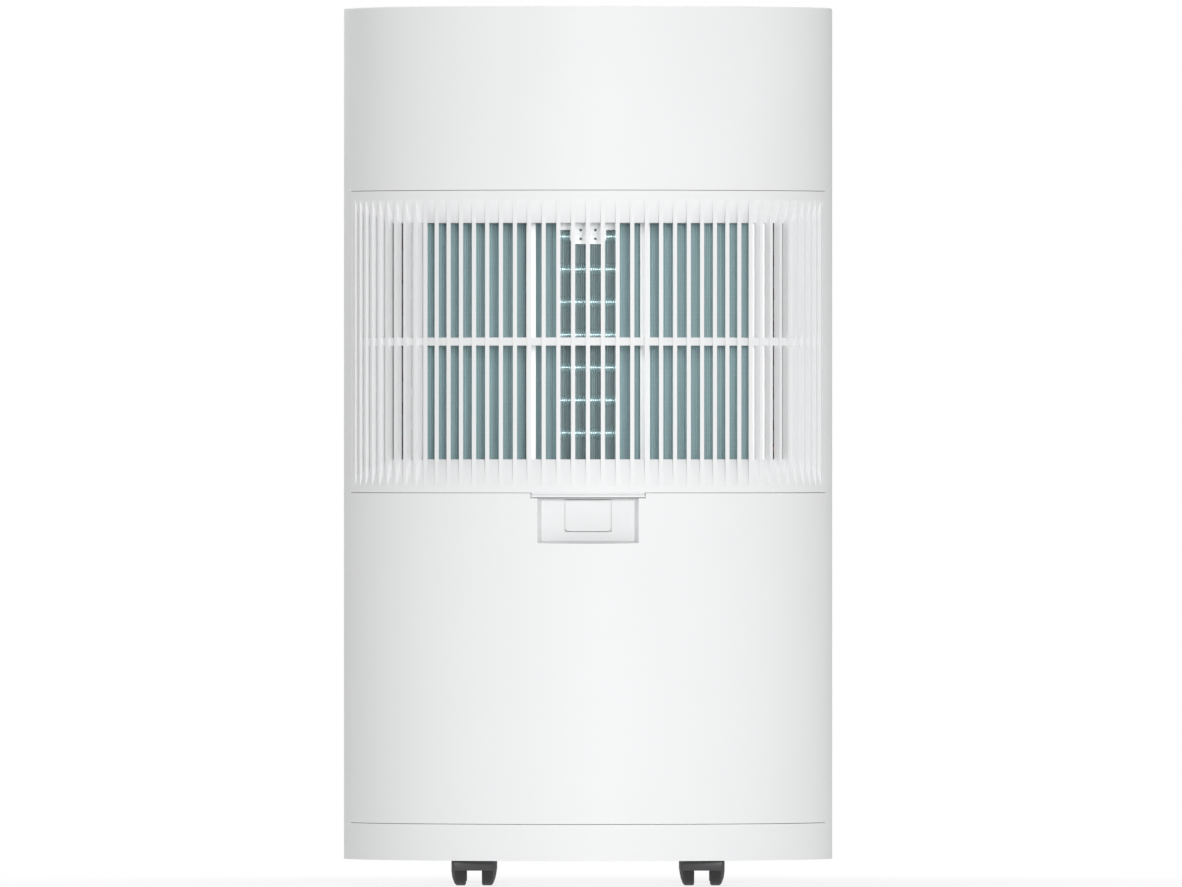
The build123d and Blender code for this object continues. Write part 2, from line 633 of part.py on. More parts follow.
def duct_side(grow, front):
    """Side view of the duct, grown by a wall, from the scroll's throat round a bend to the front."""
    low, high = DUCT_LOW - grow, DUCT_HIGH + grow
    foot = DUCT_FOOT - grow
    back = DUCT_BACK + grow
    bend = DUCT_BEND + grow
    centre_y, centre_z = back - bend, high - bend
    middle = (centre_y + bend * cos(pi / 4), centre_z + bend * sin(pi / 4))
    line = (
        Polyline((centre_y, high), (front, high), (front, low), (-82, low), (-55 - grow, foot), (back, foot),
                 (back, centre_z))
        + ThreePointArc((back, centre_z), middle, (centre_y, high))
    )
    return Plane.YZ * make_face(line)


def outlet_duct():
    """Plenum from the blower's throat up and forward to the outlet; its mouth follows the casing's curve."""
    outer = extrude(duct_side(DUCT_WALL, -195), DUCT_HALF, both=True)
    inner = extrude(duct_side(0, -200), DUCT_HALF - DUCT_WALL, both=True)
    duct = (outer - inner) & Pos(0, 0, 500) * Cylinder(WALL_R - 0.3, 200, align=LOW)
    throat_x0 = max(UPPER["x"] - UPPER["r1"], -DUCT_HALF + 3)
    throat_x1 = UPPER["x"] - UPPER["r0"] * cos(radians(TONGUE))
    throat_y0 = UPPER["y"] + SCROLL_WALL
    throat_y1 = UPPER["y"] + UPPER["depth"] - SCROLL_WALL
    duct -= block(throat_x0, throat_x1, throat_y0, throat_y1, DUCT_FOOT - 8, DUCT_FOOT + 1)
    for z in louver_heights():
        duct -= Pos(0, LOUVER_Y, z) * Rot(0, 90, 0) * Cylinder(PIVOT_R + RUN_GAP, 2 * DUCT_HALF + 4)
    for x in vane_places():
        duct -= Pos(x, VANE_Y, DUCT_LOW - 4) * Cylinder(PIVOT_R + RUN_GAP, DUCT_HIGH - DUCT_LOW + 8, align=LOW)
    return duct


# ---- louvers and vanes --------------------------------------------------------------------------
def louver_heights():
    return [LOUVER_FIRST + k * LOUVER_PITCH for k in range(LOUVER_COUNT)]


def vane_places():
    return [(k - (VANE_COUNT - 1) / 2) * VANE_PITCH for k in range(VANE_COUNT)]


def louver(z):
    """Level blade on two end pivots, with a crank pin at its +X end."""
    end = LINK_X - 2.5
    section = Plane(origin=(-DUCT_HALF + 5, LOUVER_Y, z), x_dir=(0, 1, 0), z_dir=(1, 0, 0))
    blade = extrude(section * SlotOverall(LOUVER_CHORD, 2.2), end + DUCT_HALF - 5)
    pivots = rod((-DUCT_HALF + 0.4, LOUVER_Y, z), (DUCT_HALF - 0.4, LOUVER_Y, z), PIVOT_R)
    arm = block(end - 1, end + 1.5, LOUVER_Y - 2, LOUVER_Y + CRANK + 2, z - 2, z + 2)
    crank = rod((end, LOUVER_Y + CRANK, z), (LINK_X + LINK_T + 1, LOUVER_Y + CRANK, z), CRANK_R)
    return blade + pivots + arm + crank


def louver_link():
    """Upright tie bar on the louvers' crank pins."""
    zs = louver_heights()
    y = LOUVER_Y + CRANK
    bar = block(LINK_X, LINK_X + LINK_T, y - 2.6, y + 2.6, zs[0] - 3.5, zs[-1] + 3.5)
    for z in zs:
        high = CRANK_R + SLOT_PLAY
        bar -= block(LINK_X - 2, LINK_X + LINK_T + 2, y - high - 0.9, y + high, z - high, z + high)
    return bar


def vane(x):
    """Upright vane behind the louvers, with its crank pin near the top."""
    low, high = DUCT_LOW + 2, VANE_LINK_Z - 1.4
    plate = prism(Pos(x, VANE_Y) * Rot(0, 0, 90) * SlotOverall(VANE_CHORD, 2.0), low, high)
    pivots = rod((x, VANE_Y, DUCT_LOW - 1.6), (x, VANE_Y, DUCT_HIGH + 1.6), PIVOT_R)
    crank = rod((x, VANE_Y + VANE_CRANK, high - 1), (x, VANE_Y + VANE_CRANK, VANE_LINK_Z + 2.6), CRANK_R)
    boss = Pos(x, VANE_Y + VANE_CRANK, high - 6) * Cylinder(2.0, 6, align=LOW)
    return plate + pivots + boss + crank


def vane_link():
    """Level tie bar on the vanes' crank pins."""
    xs = vane_places()
    y = VANE_Y + VANE_CRANK
    bar = block(xs[0] - 3.5, xs[-1] + 3.5, y - 2.6, y + 2.6, VANE_LINK_Z, VANE_LINK_Z + 1.8)
    for x in xs:
        wide = CRANK_R + SLOT_PLAY
        bar -= block(x - wide, x + wide, y - wide - 0.9, y + wide, VANE_LINK_Z - 2, VANE_LINK_Z + 4)
    return bar


def swing_motor():
    """Small geared motor under the duct's floor, on the middle vane's axis."""
    can = Pos(0, VANE_Y, DUCT_LOW - 13.4) * Cylinder(14, 11, align=LOW)
    ears = block(-20, 20, VANE_Y - 3.5, VANE_Y + 3.5, DUCT_LOW - 3.6, DUCT_LOW - 2.4)
    return can + ears


# ---- floor of the upper compartment ---------------------------------------------------------------
def partition_deck():
    """Deck between the two compartments, with a walled tray under the cooling coil to catch its water."""
    deck = Pos(0, 0, DECK_Z) * Cylinder(CORE_R, DECK_T, align=LOW)
    tray = block(-150, 150, 63, 117, DECK_Z, TRAY_TOP)
    tray -= block(-147.5, 147.5, 65.5, 114.5, DECK_Z + DECK_T, TRAY_TOP + 11)
    deck += tray & Pos(0, 0, 200) * Cylinder(CORE_R, 200, align=LOW)
    deck -= block(-50, 50, 166, 200, DECK_Z - 11, TRAY_TOP + 11)
    deck -= Pos(SUCTION_X, EVAP["y_far"], DECK_Z - 5) * Cylinder(SUCTION_R + 2, 12, align=LOW)
    return deck


def air_divider():
    """Upright plate between the coil's chamber and the blower, with a hole at the blower's mouth."""
    y = UPPER["y"] + UPPER["depth"] + 0.05
    low, high = DECK_Z + DECK_T + 0.05, DUCT_FOOT - DUCT_WALL - 0.1
    plate = block(-CORE_R, CORE_R, y, y + 2, low, high) & Pos(0, 0, 200) * Cylinder(CORE_R, 400, align=LOW)
    return plate - Pos(UPPER["x"], y, UPPER["z"]) * Rot(90, 0, 0) * Cylinder(UPPER_INLET_R + 2, 20)


def deck_posts():
    """Four posts that carry the deck from the base."""
    low, high = BASE_Z + FLOOR_T + 0.05, DECK_Z - 0.05
    half = POST_HALF
    return group(*[block(x - half, x + half, y - half, y + half, low, high) for x, y in DECK_POSTS])


# ---- lower compartment --------------------------------------------------------------------------
def compressor_feet():
    x, y = COMPRESSOR
    return [(x + FOOT_R * cos(radians(a)), y + FOOT_R * sin(radians(a))) for a in (-60, 60, 180)]


def compressor():
    """Rotary compressor can on a three-lobed foot plate, with its accumulator beside it."""
    x, y = COMPRESSOR
    can = Pos(x, y, FOOT_Z + 16) * Cylinder(COMPRESSOR_R, COMPRESSOR_H, align=LOW)
    can = fillet(can.edges().filter_by(GeomType.CIRCLE), 16)
    hollow = Pos(x, y, FOOT_Z + 26) * Cylinder(COMPRESSOR_R - 12, 150, align=LOW)
    foot = Pos(x, y, FOOT_Z + 13) * Cylinder(46, 4, align=LOW)
    for fx, fy in compressor_feet():
        arm = Pos((x + fx) / 2, (y + fy) / 2, FOOT_Z + 15) * Rot(0, 0, degrees(atan2(fy - y, fx - x)))
        foot += arm * Box(FOOT_R, 22, 4)
        foot += Pos(fx, fy, FOOT_Z + 13) * Cylinder(11, 4, align=LOW)
    for fx, fy in compressor_feet():
        foot -= Pos(fx, fy, FOOT_Z) * Cylinder(6.2, 30, align=LOW)
    body = (can - hollow) + foot
    tank = Pos(*TANK, TANK_LOW) * Cylinder(TANK_R, TANK_H, align=LOW)
    tank = fillet(tank.edges().filter_by(GeomType.CIRCLE), 9)
    strap = block(-30, 4, 110, 124, 190, 196)
    elbow_start = (*TANK, TANK_LOW + 4)
    elbow_path = FilletPolyline(elbow_start, (*TANK, 96), (-34, 104, 96), radius=10)
    elbow = sweep(Plane(origin=elbow_start, z_dir=(0, 0, -1)) * Circle(5), path=elbow_path)
    return body + tank + strap + elbow


def compressor_grommets():
    """Rubber bush under each foot, grooved round the foot plate's hole."""
    bushes = []
    for fx, fy in compressor_feet():
        bush = tube(11, 4.3, FOOT_Z, FOOT_Z + 12.9) + tube(6.0, 4.3, FOOT_Z + 12, FOOT_Z + 18)
        bushes.append(Pos(fx, fy, 0) * bush)
    return group(*bushes)


def compressor_bolts():
    """Shouldered bolt through each bush into the base."""
    bolts = []
    for fx, fy in compressor_feet():
        shank = Pos(0, 0, FOOT_Z - 8) * Cylinder(4.0, 28, align=LOW)
        head = Pos(0, 0, FOOT_Z + 19) * extrude(RegularPolygon(8, 6), 5)
        washer = Pos(0, 0, FOOT_Z + 18.1) * Cylinder(10, 1.2, align=LOW)
        bolts.append(Pos(fx, fy, 0) * (shank + head + washer))
    return group(*bolts)


def refrigerant_pipes():
    """Copper lines: suction from the cooling coil, discharge to the condenser, and the capillary coil."""
    y = EVAP["y_far"]
    under_deck = 270.0
    start = (-EVAP_HALF - 0.1, y, EVAP["z_first"])
    fall = FilletPolyline(start, (SUCTION_X, y, EVAP["z_first"]), (SUCTION_X, y, under_deck),
                          (TANK[0], y, under_deck), (*TANK, under_deck), (*TANK, TANK_LOW + TANK_H + 0.1),
                          radius=2 * SUCTION_R)
    suction = sweep(Plane(origin=start, z_dir=(-1, 0, 0)) * Circle(SUCTION_R), path=fall)
    x, y = COMPRESSOR
    z = COND["z_first"] + (COND["per_row"] - 0.5) * TUBE_PITCH
    side_x = -128.0
    outlet = (x, y, FOOT_Z + 16 + COMPRESSOR_H + 0.1)
    line = FilletPolyline(outlet, (x, y, z), (side_x, y, z), (side_x, COND["y_near"], z),
                          (COND_X[0] - 0.1, COND["y_near"], z), radius=8)
    discharge = sweep(Plane(origin=outlet, z_dir=(0, 0, 1)) * Circle(DISCHARGE_R), path=line)
    capillary = Pos(*CAPILLARY) * Torus(14, 1.6)
    for k in range(1, CAPILLARY_TURNS):
        capillary += Pos(*CAPILLARY) * Pos(0, 0, 3.0 * k) * Torus(14, 1.6)
    return group(suction, discharge, capillary)


def control_box():
    """Box for the power electronics on four legs, with a flange round it and a board and capacitor inside."""
    box = block(52, 118, 24, 104, 90, 262) - block(54, 116, 26, 102, 92, 260)
    rim = block(50, 120, 22, 106, 174, 178) - block(53, 117, 25, 103, 170, 182)
    for x, y in ((57, 30), (113, 30), (57, 82), (113, 82)):
        rim += block(x - 2.5, x + 2.5, y - 2.5, y + 2.5, BASE_Z + FLOOR_T + 0.05, 91)
    board = block(57, 59, 32, 96, 100, 250)
    capacitor = Pos(86, 64, 96) * Cylinder(20, 82, align=LOW)
    return group(box + rim, board, capacitor)


def cord_gland():
    """Grommet in the casing where a supply lead would leave."""
    flange_r, neck_r = GLAND_R + 6.3, GLAND_R + 3.8
    ring = tube(flange_r, GLAND_R, WALL_R - 2.1, WALL_R - 0.4)
    ring += tube(neck_r, GLAND_R, WALL_R - 0.5, BODY_R + 0.2)
    ring += tube(flange_r, GLAND_R, BODY_R + 0.05, BODY_R + 1.8)
    return Rot(0, 0, -GLAND_ANGLE) * Pos(0, 0, GLAND_Z) * Rot(-90, 0, 0) * ring


# ---- base and casters ---------------------------------------------------------------------------
def caster_places():
    return [(sx * CASTER_X, sy * CASTER_Y) for sy in (1, -1) for sx in (-1, 1)]


def base_pan():
    """Moulded base: floor, rim, caster wells with stem sockets, bosses, a coil rest and a drain."""
    pan_r = WALL_R - 0.3
    pan = Pos(0, 0, BASE_Z) * Cylinder(pan_r, FLOOR_T, align=LOW)
    pan += tube(pan_r, pan_r - 2.6, BASE_Z, PANEL_LOW - 5.6)
    for x, y in caster_places():
        pan += Pos(x, y, BASE_Z) * Cylinder(WELL_R + 2.4, WELL_TOP + 2.4 - BASE_Z, align=LOW)
        pan += Pos(x, y, WELL_TOP) * Cylinder(9, 19, align=LOW)
    pan &= Pos(0, 0, 0) * Cylinder(pan_r, 200, align=LOW)
    for x, y in caster_places():
        pan -= Pos(x, y, 0) * Cylinder(WELL_R, WELL_TOP, align=LOW)
        pan -= Pos(x, y, 0) * Cylinder(STEM_R + RUN_GAP, WELL_TOP + 16, align=LOW)
    for fx, fy in compressor_feet():
        pan += Pos(fx, fy, BASE_Z) * Cylinder(12.5, FOOT_Z - BASE_Z - 0.05, align=LOW)
    for x, y in caster_places():
        pan -= Pos(x, y, 0) * Cylinder(WELL_R, WELL_TOP, align=LOW)
    for fx, fy in compressor_feet():
        pan -= Pos(fx, fy, FOOT_Z - 9) * Cylinder(4.05, 20, align=LOW)
    pan += block(*COIL_REST, BASE_Z + 1, COND_Z[0] - 0.1)
    pan += Pos(*DRAIN, BASE_Z) * Cylinder(DRAIN_R + 7, 9, align=LOW)
    pan -= Pos(*DRAIN, BASE_Z - 1) * Cylinder(DRAIN_R + 0.1, 20, align=LOW)
    for x, y in screw_places():
        pan -= Pos(x, y, BASE_Z - 1) * Cylinder(2.1, 8, align=LOW)
        pan -= Pos(x, y, BASE_Z - 1) * Cylinder(4.2, 2.6, align=LOW)
    return pan


def screw_places():
    return [at(BASE_SCREW_R, a) for a in (0, 90, 180, 270)]


def base_screws():
    """Screws up through the base's floor."""
    screw = Pos(0, 0, BASE_Z + 0.3) * (Cylinder(4.0, 1.2, align=LOW) + Cylinder(2.0, 6.5, align=LOW))
    screw -= Pos(0, 0, BASE_Z + 0.3) * Box(5.5, 0.9, 1.2) + Pos(0, 0, BASE_Z + 0.3) * Box(0.9, 5.5, 1.2)
    return group(*[Pos(x, y, 0) * screw for x, y in screw_places()])


def drain_plug():
    """Plug in the base's drain, with a coin slot."""
    head = Pos(*DRAIN, BASE_Z - 2.6) * Cylinder(DRAIN_R + 5, 2.4, align=LOW)
    shank = Pos(*DRAIN, BASE_Z - 1) * Cylinder(DRAIN_R, 11, align=LOW)
    return head + shank - Pos(*DRAIN, BASE_Z - 2.6) * Box(20, 2, 2.4)


def float_stem():
    """Stem of the water-level switch: a foot on the base's floor, a guide rod and a stop at its top."""
    foot = Pos(*FLOAT, BASE_Z + FLOOR_T + 0.05) * Cylinder(8, 2.5, align=LOW)
    guide = Pos(*FLOAT, BASE_Z + 4) * Cylinder(FLOAT_ROD_R, 34, align=LOW)
    stop = Pos(*FLOAT, BASE_Z + 36) * Cylinder(5, 4, align=LOW)
    return foot + guide + stop


def float_ring():
    """Float that rides up the stem as water collects in the base."""
    return Pos(*FLOAT, 0) * tube(12, FLOAT_ROD_R + RUN_GAP, BASE_Z + 5.6, BASE_Z + 24)


def caster_hood(x, y):
    """Swivelling hood: web between the wheels, curved cover over them, swivel boss and stem."""
    wheel_space = rod((-30, 0, WHEEL_R), (30, 0, WHEEL_R), WHEEL_R + 1.3)
    wheel_space -= block(-WEB_HALF, WEB_HALF, -50, 50, -10, 60)
    web = block(-WEB_HALF, WEB_HALF, -15, 15.5, HOOD_LOW, 36)
    web &= rod((-WEB_HALF - 1, 0, WHEEL_R), (WEB_HALF + 1, 0, WHEEL_R), HOOD_R)
    cover = rod((-HOOD_HALF, 0, WHEEL_R), (HOOD_HALF, 0, WHEEL_R), HOOD_R)
    cover &= block(-20, 20, -30, 30, HOOD_LOW, 40)
    hood = (cover - wheel_space) + web
    boss = Pos(0, -TRAIL, 30) * Cylinder(8.0, 11.6, align=LOW) - wheel_space
    stem = Pos(0, -TRAIL, 34) * Cylinder(STEM_R, 22, align=LOW)
    hood += boss + stem
    hood -= rod((-WEB_HALF - 1, 0, WHEEL_R), (WEB_HALF + 1, 0, WHEEL_R), AXLE_R + RUN_GAP)
    return Pos(x, y + TRAIL, 0) * hood


def caster_wheels(x, y):
    """Two domed wheels on one axle pin."""
    profile = [(0, WHEEL_IN), (WHEEL_R - 1.0, WHEEL_IN), (WHEEL_R, WHEEL_IN + 1.0),
               (WHEEL_R, WHEEL_TREAD - 1.6), (WHEEL_R - 1.4, WHEEL_TREAD), (WHEEL_R - 6, WHEEL_OUT - 0.7),
               (6, WHEEL_OUT), (0, WHEEL_OUT)]
    right = revolve(Plane.XZ * make_face(Polyline(*profile, close=True)), Axis.Z, 360)
    right -= Cylinder(AXLE_R, 2 * WHEEL_OUT - 3)
    right = Rot(0, 90, 0) * right
    left = Rot(0, 0, 180) * right
    pin = rod((-WHEEL_OUT + 1.6, 0, 0), (WHEEL_OUT - 1.6, 0, 0), AXLE_R)
    return group(*[Pos(x, y + TRAIL, WHEEL_R) * s for s in (right, left, pin)])


# ---- the whole part -----------------------------------------------------------------------------
def build():
    evap, cond = coil_centres(**EVAP), coil_centres(**COND)
    evap_box = (*EVAP_Y, *EVAP_Z)
    cond_box = (*COND_Y, *COND_Z)
    nodes = {
        "base_pan": base_pan(),
        "rear_shell": rear_shell(),
        "front_shell": front_shell(),
        "top_cover": top_cover(),
        "rear_grille": rear_grille(),
        "filter_frame": filter_frame(),
        "filter_screen": filter_screen(),
        "lower_rear_panel": lower_rear_panel(),
        "latch_tab": latch_tab(),
        "evaporator_fins": coil_fins(evap, -EVAP_HALF + 1.1, EVAP_HALF - 1.1, *evap_box),
        "evaporator_tubes": coil_tubes(evap, -EVAP_HALF, EVAP_HALF),
        "evaporator_end_plates": coil_end_plates(evap, -EVAP_HALF, EVAP_HALF, *evap_box),
        "sensor_bracket": sensor_bracket(),
        "partition_deck": partition_deck(),
        "blower_scroll": blower_scroll(),
        "blower_wheel": upper_place() * Pos(0, 0, UPPER_WHEEL_SET) * blower_wheel(**UPPER_WHEEL),
        "blower_motor": upper_place() * motor(**UPPER_MOTOR),
        "outlet_duct": outlet_duct(),
        "louver_link": louver_link(),
        "vane_link": vane_link(),
        "swing_motor": swing_motor(),
        "compressor": compressor(),
        "compressor_grommets": compressor_grommets(),
        "compressor_bolts": compressor_bolts(),
        "condenser_fins": coil_fins(cond, COND_X[0] + 1.1, COND_X[1] - 1.1, *cond_box),
        "condenser_tubes": coil_tubes(cond, *COND_X),
        "condenser_end_plates": coil_end_plates(cond, *COND_X, *cond_box),
        "exhaust_scroll": exhaust_scroll(),
        "exhaust_wheel": lower_place() * Pos(0, 0, LOWER_WHEEL_SET) * blower_wheel(**LOWER_WHEEL),
        "exhaust_motor": lower_place() * motor(**LOWER_MOTOR),
        "exhaust_collar": exhaust_collar(),
        "refrigerant_pipes": refrigerant_pipes(),
        "control_box": control_box(),
        "cord_gland": cord_gland(),
        "control_lens": control_lens(),
        "control_board": control_board(),
        "float_stem": float_stem(),
        "float_ring": float_ring(),
        "air_divider": air_divider(),
        "deck_posts": deck_posts(),
        "drain_plug": drain_plug(),
        "screws": group(base_screws(), bracket_screws()),
    }
    for k, z in enumerate(louver_heights(), 1):
        nodes[f"louver_{k}"] = louver(z)
    for k, x in enumerate(vane_places(), 1):
        nodes[f"vane_{k}"] = vane(x)
    for k, x in enumerate(KEY_XS, 1):
        nodes[f"key_{k}"] = key(x)
    for k, (x, y) in enumerate(caster_places(), 1):
        nodes[f"caster_hood_{k}"] = caster_hood(x, y)
        nodes[f"caster_wheels_{k}"] = caster_wheels(x, y)
    return nodes


os.makedirs("parts", exist_ok=True)
for name, shape in build().items():
    solids = shape.solids()
    export_step(solids[0] if len(solids) == 1 else Compound(children=list(solids)), f"parts/{name}.step")
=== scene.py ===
"""Looks of the portable air conditioner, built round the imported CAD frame. Metres, +Z up, rear on +Y."""
import json
import math

import bmesh
import bpy
from mathutils import Matrix, Vector


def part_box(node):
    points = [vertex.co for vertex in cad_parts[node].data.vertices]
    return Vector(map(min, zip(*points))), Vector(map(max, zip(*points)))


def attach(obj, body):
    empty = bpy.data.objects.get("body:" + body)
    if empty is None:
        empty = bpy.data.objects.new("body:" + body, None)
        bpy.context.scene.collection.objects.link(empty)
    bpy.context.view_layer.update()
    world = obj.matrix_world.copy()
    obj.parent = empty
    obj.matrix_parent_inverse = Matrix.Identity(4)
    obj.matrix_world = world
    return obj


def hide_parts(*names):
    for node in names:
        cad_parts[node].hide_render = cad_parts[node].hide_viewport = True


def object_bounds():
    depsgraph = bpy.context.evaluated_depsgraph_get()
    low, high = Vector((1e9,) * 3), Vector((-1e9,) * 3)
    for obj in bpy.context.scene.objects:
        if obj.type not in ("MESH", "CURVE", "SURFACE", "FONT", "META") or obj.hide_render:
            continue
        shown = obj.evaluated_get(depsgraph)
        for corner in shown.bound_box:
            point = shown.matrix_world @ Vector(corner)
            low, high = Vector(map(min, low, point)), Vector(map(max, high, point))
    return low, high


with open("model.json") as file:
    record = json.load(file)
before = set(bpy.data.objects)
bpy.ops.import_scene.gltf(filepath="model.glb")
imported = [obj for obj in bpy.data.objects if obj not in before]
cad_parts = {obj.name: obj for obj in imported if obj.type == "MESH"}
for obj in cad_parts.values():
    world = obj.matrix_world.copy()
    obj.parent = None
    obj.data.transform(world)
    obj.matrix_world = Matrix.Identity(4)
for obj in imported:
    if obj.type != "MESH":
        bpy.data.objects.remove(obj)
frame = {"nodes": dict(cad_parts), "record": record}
cad_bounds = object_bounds()
nodes = frame["nodes"]

# Colours, linear
WHITE = (0.86, 0.865, 0.87)
INNER_WHITE = (0.85, 0.86, 0.86)
COPPER = (0.72, 0.36, 0.22)
TEAL_SIDE = (0.37, 0.53, 0.555)
# painted light: the middle bay's fins get a lighter copy of the one fin coat, standing in for how light falls
# into the fin pack
TEAL_MIDDLE_PAINTED_LIGHT = (0.66, 0.84, 0.86)
TUBE_COLLAR = (0.36, 0.54, 0.56)

# Coils and filter net
FIN_PITCH = 0.0017
FIN_T = 0.00015
FIN_FOLDS = 11
FLAT_WAVE = 0.00018  # fold height where one can see in between the fins
DEEP_WAVE = 0.0014  # fold height where the fins hide what is behind them
MIDDLE_BAY = 0.024  # half width of the bay with nearly flat fins in front
PAINTED_LIGHT_FADE = (0.022, 0.026)  # the painted light on the middle bay's fins fades out over this distance from the middle plane
FLAT_FRONT = 0.010  # depth of the nearly flat part
NET_PITCH = 0.004
STRAND_R = 0.00004

# Painted shade under the pull lip: a thin dark strip in place of the shadow in the gap
SHADOW_STRIP_RADII = (0.1872, 0.1898)
SHADOW_STRIP_ANGLE = 0.2345
SHADOW_STRIP_Z = (0.30012, 0.30068)
SHADOW_STRIP_STEPS = 48
SHADOW_STRIP_TAPER = 0.08  # share of each half over which the dark strip of painted shade thins out

# Latch tab
TAB_WIDENING = 1.02
TAB_FLANGE = ((-0.0189, 0.1718, 0.2730), (0.0189, 0.1726, 0.3002))
TAB_CORE = ((-0.0170, 0.1724, 0.2750), (0.0170, 0.1736, 0.2980))

# Floor, light and camera
FLOOR_R = 4.0
FLOOR_FADE = (0.25, 0.7)  # the floor turns white between these distances from the middle
FLOOR_GLOW = 0.75  # share of plain white in the floor near the middle
WORLD_LIGHT = 0.28
LIGHTS = [  # name, place, side, power in watts
    ("key", (-0.7, 6.0, 1.15), 1.0, 148),
    ("fill_left", (3.4, 0.8, 1.4), 2.0, 5),
    ("fill_right", (-3.4, 0.4, 1.4), 2.0, 8),
    ("top", (0.0, 0.0, 3.6), 2.0, 55),
    ("coil_light", (-0.2, 6.0, 0.60), 0.5, 215),
    ("front", (1.2, -3.6, 1.8), 2.4, 40),
]
LENS = 1150.0
SENSOR = 36.0
FRAME_WIDTH = 0.914  # width of the picture at the object's rear
AIM = Vector((-0.0023, 0.19, 0.3424))


# ---- shader helpers -----------------------------------------------------------------------------
def new_material(name, base, roughness, metallic=0.0, gloss=0.5):
    """A principled material; returns it with its node tree and shader."""
    mat = bpy.data.materials.new(name)
    mat.use_nodes = True
    tree = mat.node_tree
    shader = tree.nodes["Principled BSDF"]
    shader.inputs["Base Color"].default_value = (*base, 1)
    shader.inputs["Roughness"].default_value = roughness
    shader.inputs["Metallic"].default_value = metallic
    shader.inputs["Specular IOR Level"].default_value = gloss
    return mat, tree, shader


def noise(tree, scale, detail=3.0, stretch=(1, 1, 1)):
    """Noise value in object space, in repeats per metre."""
    coords = tree.nodes.new("ShaderNodeTexCoord")
    mapping = tree.nodes.new("ShaderNodeMapping")
    mapping.inputs["Scale"].default_value = stretch
    texture = tree.nodes.new("ShaderNodeTexNoise")
    texture.inputs["Scale"].default_value = scale
    texture.inputs["Detail"].default_value = detail
    tree.links.new(coords.outputs["Object"], mapping.inputs["Vector"])
    tree.links.new(mapping.outputs["Vector"], texture.inputs["Vector"])
    return texture.outputs["Fac"]


def ramp(tree, value, stops):
    """Colour ramp over a value; stops are (position, colour)."""
    node = tree.nodes.new("ShaderNodeValToRGB")
    for element, (position, colour) in zip(node.color_ramp.elements, stops, strict=True):
        element.position = position
        element.color = (*colour, 1)
    tree.links.new(value, node.inputs["Fac"])
    return node.outputs["Color"]


def spread(tree, value, low, high):
    """Maps a 0 to 1 value onto low to high."""
    node = tree.nodes.new("ShaderNodeMapRange")
    node.inputs["To Min"].default_value = low
    node.inputs["To Max"].default_value = high
    tree.links.new(value, node.inputs["Value"])
    return node.outputs["Result"]


def add_bump(tree, shader, height, strength, distance):
    """Bumps the surface by a height value; distance is in metres."""
    bump = tree.nodes.new("ShaderNodeBump")
    bump.inputs["Strength"].default_value = strength
    bump.inputs["Distance"].default_value = distance
    tree.links.new(height, bump.inputs["Height"])
    tree.links.new(bump.outputs["Normal"], shader.inputs["Normal"])


def colour_mix(tree, factor, first, second):
    """Mixes two colours by a 0 to 1 value."""
    mix = tree.nodes.new("ShaderNodeMix")
    mix.data_type = "RGBA"
    tree.links.new(factor, mix.inputs["Factor"])
    tree.links.new(first, mix.inputs["A"])
    tree.links.new(second, mix.inputs["B"])
    return mix.outputs["Result"]


def off_centre(tree):
    """Distance from the middle plane, in metres."""
    coords = tree.nodes.new("ShaderNodeTexCoord")
    axis = tree.nodes.new("ShaderNodeSeparateXYZ")
    tree.links.new(coords.outputs["Object"], axis.inputs["Vector"])
    distance = tree.nodes.new("ShaderNodeMath")
    distance.operation = "ABSOLUTE"
    tree.links.new(axis.outputs["X"], distance.inputs[0])
    return distance.outputs[0]


def mottled(tree, value, base, darkest, low=0.3, high=0.7):
    """The base colour, darkened to a share of itself where the value is low."""
    return ramp(tree, value, [(low, tuple(c * darkest for c in base)), (high, base)])


def plastic(name, base, roughness, grain=1400.0, bump=0.05, depth=0.00004, coat=0.0, gloss=0.5):
    """Moulded plastic: a faint drift of tone, uneven gloss and a fine spark-eroded grain."""
    mat, tree, shader = new_material(name, base, roughness, gloss=gloss)
    drift = noise(tree, 9.0, 2.0)
    tree.links.new(mottled(tree, drift, base, 0.985), shader.inputs["Base Color"])
    smears = spread(tree, noise(tree, 60.0), roughness - 0.04, roughness + 0.04)
    tree.links.new(smears, shader.inputs["Roughness"])
    add_bump(tree, shader, noise(tree, grain, 2.0), bump, depth)
    shader.inputs["Coat Weight"].default_value = coat
    shader.inputs["Coat Roughness"].default_value = 0.25
    return mat


def metal(name, base, roughness, stretch=(1, 1, 1), scale=300.0, metallic=1.0):
    """Bare or plated metal with streaked roughness and slight tarnish."""
    mat, tree, shader = new_material(name, base, roughness, metallic)
    tarnish = noise(tree, 35.0, 4.0)
    tree.links.new(mottled(tree, tarnish, base, 0.82, high=0.65), shader.inputs["Base Color"])
    streaks = noise(tree, scale, 3.0, stretch)
    uneven = spread(tree, streaks, roughness * 0.75, min(1.0, roughness * 1.35))
    tree.links.new(uneven, shader.inputs["Roughness"])
    add_bump(tree, shader, streaks, 0.08, 0.00005)
    return mat


